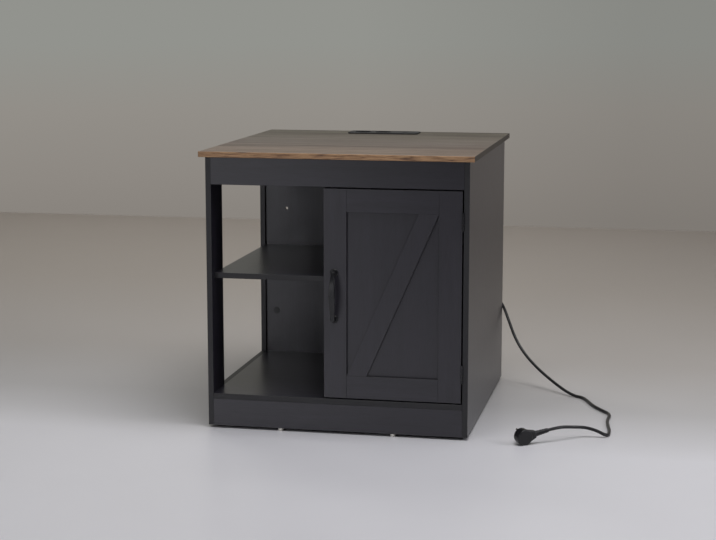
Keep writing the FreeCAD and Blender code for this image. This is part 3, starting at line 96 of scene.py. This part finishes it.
def lay_cord():
    """Flexible lead from the power unit's strain relief, down behind the table to the plug.

    The bevel is 1 deep, so that the radius at each point is the lead's own.
    """
    curve = bpy.data.curves.new("mains_lead", "CURVE")
    curve.dimensions = "3D"
    curve.bevel_depth = 1
    curve.bevel_resolution = 6
    curve.resolution_u = 10
    curve.use_fill_caps = True
    spline = curve.splines.new("NURBS")
    spline.points.add(len(CORD_LINE) - 1)
    for point, spot in zip(spline.points, CORD_LINE):
        point.co = (*(Vector(spot) * MM), 1)
        point.radius = CORD_DIAMETER / 2
    spline.order_u = 3
    spline.use_endpoint_u = True
    lead = bpy.data.objects.new("mains_lead", curve)
    scene.collection.objects.link(lead)
    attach(lead, "table")
    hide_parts("mains_cord")
    return lead


# ---------------------------------------------------------------- how a finish is built up
BLEND = {"out": "Result", "data_type": "RGBA"}      # one colour gives way to another
TINT = {**BLEND, "blend_type": "MULTIPLY"}          # one colour darkens another


def linear(code):
    """Linear RGBA of an sRGB hex colour."""
    channels = [int(code[i:i + 2], 16) / 255 for i in (1, 3, 5)]
    return [c / 12.92 if c <= 0.04045 else ((c + 0.055) / 1.055) ** 2.4 for c in channels] + [1]


def feed(tree, node, links):
    """Feeds a node's sockets, each from another node, a hex colour or a plain value."""
    for key, value in links.items():
        if isinstance(value, bpy.types.NodeSocket):
            tree.links.new(value, node.inputs[key])
        else:
            node.inputs[key].default_value = linear(value) if isinstance(value, str) else value


def add(tree, kind, links=None, out=0, stops=(), **settings):
    """Adds a node with its settings and links, and returns one of its outputs.

    Stops are the places and hex colours of a colour ramp.
    """
    node = tree.nodes.new("ShaderNode" + kind)
    for name, value in settings.items():
        setattr(node, name, value)
    for number, (place, code) in enumerate(stops):
        elements = node.color_ramp.elements
        element = elements[number] if number < len(elements) else elements.new(place)
        element.position = place
        element.color = linear(code)
    feed(tree, node, links or {})
    return node.outputs[out]


def blank(name):
    """New finish; returns the material, its tree and its surface."""
    material = bpy.data.materials.new(name)
    material.use_nodes = True
    return material, material.node_tree, material.node_tree.nodes["Principled BSDF"]


def grain(tree, across, along, axis, detail=3, rough=0.55):
    """Soft chance pattern, in mm across and mm along an axis of the piece."""
    steps = [1 / (across * MM)] * 3
    steps["XYZ".index(axis)] = 1 / (along * MM)
    place = add(tree, "TexCoord", out="Object")
    stretched = add(tree, "Mapping", {"Vector": place, "Scale": steps})
    return add(tree, "TexNoise", {"Vector": stretched, "Scale": 1, "Detail": detail, "Roughness": rough})


def speckle(tree, size, detail=3):
    """Soft chance pattern of the same size in mm in every direction."""
    return grain(tree, size, size, "X", detail)


def progress(tree, axis, start, end, within="Object"):
    """0 at one place along an axis and 1 at another."""
    place = add(tree, "TexCoord", out=within)
    step = add(tree, "SeparateXYZ", {"Vector": place}, out=axis)
    return add(tree, "MapRange", {"Value": step, "From Min": start, "From Max": end})


def facing(tree, axis, least=0.9):
    """1 where the surface looks along an axis, by at least this share, and 0 elsewhere."""
    way = add(tree, "TexCoord", out="Normal")
    share = add(tree, "Math", {0: add(tree, "SeparateXYZ", {"Vector": way}, out=axis)}, operation="ABSOLUTE")
    return add(tree, "Math", {0: share, 1: least}, operation="GREATER_THAN")


# ---------------------------------------------------------------- finishes
BAND_DULLER = 0.2       # how much rougher an edge band is than the face of its board


def black_foil(axis, face):
    """Black melamine foil on chipboard, pressed with fine open grain: satin, with duller edge bands.

    The grain runs along one axis, and the board's faces look along another. The pores are drawn
    a few times as coarse as real ones, so that they show.
    """
    material, tree, surface = blank("black_melamine_grain_" + (axis + face).lower())
    pores = grain(tree, 1.4, 26, axis, 5, 0.6)
    streaks = grain(tree, 14, 260, axis)
    tone = add(tree, "ValToRGB", {"Fac": streaks},
               stops=((0.25, "#24232a"), (0.55, "#29272f"), (0.8, "#2e2c35")))
    pore = add(tree, "ValToRGB", {"Fac": pores}, stops=((0.36, "#8f8f8f"), (0.5, "#ffffff")))
    grained = add(tree, "Mix", {"Factor": 0.35, "A": tone, "B": pore}, **TINT)
    band = add(tree, "Mix", {"Factor": 1, "A": grained, "B": "#8a8a8c"}, **TINT)
    is_face = facing(tree, face)
    satin = add(tree, "MapRange", {"Value": pores, "To Min": 0.36, "To Max": 0.28})
    duller = add(tree, "MapRange", {"Value": is_face, "To Min": BAND_DULLER, "To Max": 0})
    feed(tree, surface, {
        "IOR": 1.6,
        "Base Color": add(tree, "Mix", {"Factor": is_face, "A": band, "B": grained}, **BLEND),
        "Roughness": add(tree, "Math", {0: satin, 1: duller}),
        "Normal": add(tree, "Bump", {"Height": pores, "Distance": 0.03 * MM, "Strength": 0.25})})
    return material


def rustic_oak():
    """Printed oak decor, matt and pored: grey-brown, with a warmer edge band. The top face is drawn greyer and
    darker towards the back, and the ends of the board are painted in shade.

    The pores are drawn a few times as coarse as printed ones, so that they show.
    """
    material, tree, surface = blank("rustic_oak_decor")
    bands = grain(tree, 30, 900, "X")
    rings = grain(tree, 7, 260, "X", 6, 0.6)
    pores = grain(tree, 1.3, 40, "X", 4, 0.6)
    flecks = grain(tree, 3, 45, "X", 4)
    board = add(tree, "ValToRGB", {"Fac": rings},
                stops=((0.3, "#5f5046"), (0.45, "#7b6c60"), (0.6, "#8b7e71"), (0.75, "#746459")))
    band = add(tree, "ValToRGB", {"Fac": bands},
               stops=((0.3, "#a08d7f"), (0.5, "#ffffff"), (0.7, "#c8bcae")))
    # The top face is drawn greyer and darker towards the back.
    greyed = add(tree, "ValToRGB", {"Fac": progress(tree, "Y", -0.3, 0.3)},
                 stops=((0.05, "#fffcf8"), (0.2, "#ffffff"), (0.28, "#e4e4e6"), (0.45, "#d4d8de"),
                        (0.62, "#d8e0e2"), (0.78, "#c6cecb"), (0.95, "#b4bdb6")))
    banded = add(tree, "Mix", {"Factor": 0.8, "A": board, "B": band}, **TINT)
    decor = add(tree, "Mix", {"Factor": 1, "A": banded, "B": greyed}, **TINT)
    edge = add(tree, "ValToRGB", {"Fac": flecks},
               stops=((0.36, "#5e4331"), (0.45, "#9d7856"), (0.6, "#bb946d"), (0.7, "#8f6849")))
    # Painted shade: the left and right ends of the board are a flat dark brown-grey.
    edges_and_painted_shade_ends = add(tree, "Mix", {"Factor": facing(tree, "X", 0.6), "A": edge, "B": "#3f3932"}, **BLEND)
    whole = add(tree, "Mix", {"Factor": facing(tree, "Z"), "A": edges_and_painted_shade_ends, "B": decor}, **BLEND)
    pore = add(tree, "ValToRGB", {"Fac": pores}, stops=((0.34, "#6f6258"), (0.46, "#ffffff")))
    feed(tree, surface, {
        "IOR": 1.5,
        "Base Color": add(tree, "Mix", {"Factor": 0.55, "A": whole, "B": pore}, **TINT),
        "Roughness": add(tree, "MapRange", {"Value": pores, "To Min": 0.62, "To Max": 0.46}),
        "Normal": add(tree, "Bump", {"Height": pores, "Distance": 0.06 * MM, "Strength": 0.6})})
    return material


def powder_coat():
    """Black powder coat on cast zinc and steel: slightly pebbled, with a clear highlight."""
    material, tree, surface = blank("black_powder_coat")
    pebble = speckle(tree, 0.6, 2)
    feed(tree, surface, {
        "IOR": 1.5,
        "Base Color": add(tree, "ValToRGB", {"Fac": speckle(tree, 18, 2)},
                          stops=((0.3, "#151517"), (0.7, "#1d1d20"))),
        "Roughness": add(tree, "MapRange", {"Value": pebble, "To Min": 0.2, "To Max": 0.34}),
        "Normal": add(tree, "Bump", {"Height": pebble, "Distance": 0.03 * MM, "Strength": 0.35})})
    return material


def plated(name, dark, light, rough):
    """Plated metal: faint cloudiness in tone and gloss, and fine rolling marks drawn coarse enough to show."""
    material, tree, surface = blank(name)
    cloud = speckle(tree, 9, 4)
    marks = grain(tree, 0.25, 6, "Z", 2)
    feed(tree, surface, {
        "Metallic": 1,
        "Base Color": add(tree, "ValToRGB", {"Fac": cloud}, stops=((0.3, dark), (0.7, light))),
        "Roughness": add(tree, "MapRange", {"Value": cloud, "To Min": rough - 0.06, "To Max": rough + 0.08}),
        "Normal": add(tree, "Bump", {"Height": marks, "Distance": 0.01 * MM, "Strength": 0.3})})
    return material


def moulded(name, dark, light, rough, texture=0.5, depth=0.02):
    """Moulded plastic: slight unevenness of tone, and a fine mould texture drawn coarse enough to show.

    Texture is the width of its bumps in mm, and depth their height.
    """
    material, tree, surface = blank(name)
    skin = speckle(tree, texture)
    feed(tree, surface, {
        "IOR": 1.5,
        "Base Color": add(tree, "ValToRGB", {"Fac": speckle(tree, 25)}, stops=((0.3, dark), (0.7, light))),
        "Roughness": add(tree, "MapRange", {"Value": skin, "To Min": rough - 0.05, "To Max": rough + 0.07}),
        "Normal": add(tree, "Bump", {"Height": skin, "Distance": depth * MM, "Strength": 0.5})})
    return material


def beech():
    """Raw beech dowel stock, turned and fluted: pale pinkish wood with short dark flecks."""
    material, tree, surface = blank("fluted_beech")
    fleck = grain(tree, 0.5, 4, "X")
    feed(tree, surface, {
        "IOR": 1.5,
        "Roughness": 0.7,
        "Base Color": add(tree, "ValToRGB", {"Fac": fleck},
                          stops=((0.35, "#a8835a"), (0.5, "#cba67c"), (0.7, "#d6b58e"))),
        "Normal": add(tree, "Bump", {"Height": fleck, "Distance": 0.05 * MM, "Strength": 0.5})})
    return material


def studio_vinyl():
    """Pale sealed studio floor, softly reflecting, its colour painted cool and bright in front as a pool of
    light and warmer and duller behind as shade.
    """
    material, tree, surface = blank("sealed_pale_floor")
    cloud = speckle(tree, 420)
    # Painted light and shade: brighter and cooler in front, darker and warmer further back.
    tone = add(tree, "ValToRGB", {"Fac": progress(tree, "Y", -1.0, 1.6)},
               stops=((0.246, "#e0dfe3"), (0.397, "#bdbbbb"), (0.591, "#b3aeaa"), (1.0, "#aea7a0")))
    feed(tree, surface, {
        "IOR": 1.45,
        "Base Color": add(tree, "Mix", {"Factor": 0.06, "A": tone, "B": cloud}, **TINT),
        "Roughness": add(tree, "MapRange", {"Value": cloud, "To Min": 0.3, "To Max": 0.4})})
    return material


def painted_wall():
    """Warm grey emulsion on a studio wall, rolled to a fine stipple, and painted a little darker near the floor
    as shade.
    """
    material, tree, surface = blank("grey_emulsion")
    feed(tree, surface, {
        "IOR": 1.4,
        "Roughness": 0.9,
        # Painted shade: the wall is a little darker near the floor.
        "Base Color": add(tree, "ValToRGB", {"Fac": progress(tree, "Z", 0, 0.9)},
                          stops=((0.0, "#bcb5ad"), (0.35, "#c6bfb7"), (0.8, "#bcbbb5"), (1.0, "#b9bab4"))),
        "Normal": add(tree, "Bump", {"Height": speckle(tree, 3), "Distance": 0.2 * MM, "Strength": 0.3})})
    return material


def dress(material, *names):
    """Gives the named pieces one finish all over."""
    for name in names:
        for slot in nodes[name].material_slots:
            slot.material = material
        if not nodes[name].material_slots:
            nodes[name].data.materials.append(material)


# ---------------------------------------------------------------- studio
FLOOR_SIDE = 3.2
FLOOR_FRONT = -2.6
WALL_DEPTH = 3.15
WALL_HEIGHT = 5
ROOM_GLOW = 0.06        # strength of the light that comes from all round


def plane(name, corners, material):
    """Stage surface through four corners."""
    mesh = bpy.data.meshes.new(name)
    mesh.from_pydata(corners, [], [(0, 1, 2, 3)])
    mesh.materials.append(material)
    item = bpy.data.objects.new(name, mesh)
    scene.collection.objects.link(item)
    return item


def build_studio():
    """Floor and wall.

    The wall only gives light and reflections, so the table can be seen from behind.
    """
    left, right, front, back = -FLOOR_SIDE, FLOOR_SIDE, FLOOR_FRONT, WALL_DEPTH
    plane("studio_floor", [(left, front, 0), (right, front, 0), (right, back, 0), (left, back, 0)],
          studio_vinyl())
    wall = plane("studio_wall", [(left, back, 0), (right, back, 0), (right, back, WALL_HEIGHT),
                                 (left, back, WALL_HEIGHT)], painted_wall())
    wall.visible_camera = False


def light_room():
    """Dim light from all round, brighter from the left, and a pale grey view that only the camera sees, painted
    darker and warmer low down as shade and a little darker to the right.
    """
    world = bpy.data.worlds.new("studio_room")
    world.use_nodes = True
    tree = world.node_tree
    glow = add(tree, "ValToRGB", {"Fac": progress(tree, "X", -1, 1, "Generated")},
               stops=((0.0, "#f2f1f2"), (0.55, "#c9c8c9"), (1.0, "#8f8e8f")))
    room = add(tree, "Background", {"Color": glow, "Strength": ROOM_GLOW})
    # Painted shade: the view is darker and warmer low down, near the far end of the floor; it is also a little
    # darker to the right.
    painted_shade_low = add(tree, "ValToRGB", {"Fac": progress(tree, "Z", -0.13, 0, "Generated")},
               stops=((0.0, "#88837d"), (0.2, "#8d8882"), (0.5, "#928e88"), (0.8, "#92938e")))
    fall = add(tree, "ValToRGB", {"Fac": progress(tree, "X", -0.2, -0.04, "Generated")},
               stops=((0.0, "#ffffff"), (1.0, "#eeeeee")))
    backdrop = add(tree, "Background", {"Color": add(tree, "Mix", {"Factor": 1, "A": painted_shade_low, "B": fall}, **TINT)})
    seen = add(tree, "LightPath", out="Is Camera Ray")
    shown = add(tree, "MixShader", {0: seen, 1: room, 2: backdrop})
    feed(tree, tree.nodes["World Output"], {"Surface": shown})
    scene.world = world


def lamp(name, spot, aim, width, height, watts, tint):
    """Softbox at a spot, turned towards the place it is aimed at."""
    data = bpy.data.lights.new(name, "AREA")
    data.shape = "RECTANGLE"
    data.size = width
    data.size_y = height
    data.energy = watts
    data.color = linear(tint)[:3]
    item = bpy.data.objects.new(name, data)
    item.location = spot
    item.rotation_euler = (Vector(aim) - Vector(spot)).to_track_quat("-Z", "Y").to_euler()
    scene.collection.objects.link(item)


def light_lamps():
    """A wide box above, a key and a low reflector at the front left, a box at the right, one on the wall."""
    lamp("overhead_softbox", spot=(0.75, -0.8, 3.4), aim=(0.4, -0.5, 0), width=2.1, height=2.1, watts=78,
         tint="#fdfdff")
    lamp("front_reflector", spot=(-1.5, -4.4, 0.3), aim=(0, 0, 0.3), width=1.2, height=0.5, watts=4.2,
         tint="#fbfbff")
    lamp("key_softbox", spot=(-1.9, -4.3, 1.65), aim=(0, 0, 0.3), width=1.0, height=0.8, watts=26,
         tint="#fbfbff")
    lamp("side_softbox", spot=(3.0, -0.4, 1.7), aim=(0.4, -0.1, 0), width=1.2, height=1.2, watts=24,
         tint="#fbfbff")
    lamp("backdrop_softbox", spot=(-1.8, 1.7, 3.0), aim=(-1.2, 3.1, 0.2), width=3.6, height=0.8, watts=38,
         tint="#fffdf8")


# ---------------------------------------------------------------- assembly
place_camera()
lead = lay_cord()

# The grain runs along each board and strip, and upright on the brace, as on the panel under it.
dress(black_foil("Z", "Y"), "back_panel", "door_panel", "door_left_stile", "door_right_stile", "door_brace")
dress(black_foil("Z", "X"), "right_side_panel", "left_front_stile", "left_rear_stile", "divider_panel")
dress(black_foil("X", "Y"), "front_top_rail", "rear_top_rail", "front_plinth", "rear_plinth",
      "door_top_rail", "door_bottom_rail")
dress(black_foil("X", "Z"), "bottom_shelf", "middle_shelf", "inner_shelf")
dress(black_foil("Y", "X"), "left_top_rail", "left_bottom_rail")
dress(rustic_oak(), "top_panel")
dress(powder_coat(), "door_handle", "lower_hinge_frame_leaf", "upper_hinge_frame_leaf",
      "lower_hinge_door_leaf", "upper_hinge_door_leaf", "hinge_pins", "hinge_frame_screws",
      "hinge_door_screws")
# Bright zinc is pale and slightly blue; nickel over brass is warmer and smoother.
dress(plated("bright_zinc_plating", "#a9acb2", "#c9ccd0", 0.3), "cam_locks", "cam_bolts", "shelf_pins",
      "catch_screws", "handle_screws", "catch_strike_plate", "strike_plate_screws")
dress(plated("nickel_plated_brass", "#b7b0a0", "#d2ccbd", 0.22), "socket_earth_clips", "plug_pins")
dress(beech(), "wood_dowels")
# The covers are a shade greyer than the foil; the power unit's shell is a deeper, duller black.
dress(moulded("black_abs_cover", "#252527", "#2d2d30", 0.45), "cam_caps")
dress(moulded("black_polycarbonate", "#141415", "#1c1c1d", 0.6), "power_unit_bezel", "power_unit_housing",
      "left_socket", "right_socket", "usb_charger_module", "power_unit_clamps")
# The catch is smooth white, the glides waxy and off-white, and the magnet dull and ground.
dress(moulded("white_abs", "#d2d1cc", "#e2e1dc", 0.32), "magnetic_catch_body")
dress(moulded("pale_polyethylene", "#cfccc4", "#dedbd3", 0.5, depth=0.03), "floor_glides")
dress(moulded("ground_ferrite", "#2c2d30", "#3a3b3e", 0.6, 0.3), "catch_magnet")
# Soft PVC is black with a broad, soft sheen.
jacket = moulded("soft_black_pvc", "#131315", "#1b1b1e", 0.32, 0.4)
dress(jacket, "cord_strain_relief", "plug_strain_relief", "plug_body")
lead.data.materials.append(jacket)

build_studio()
light_room()
light_lamps()
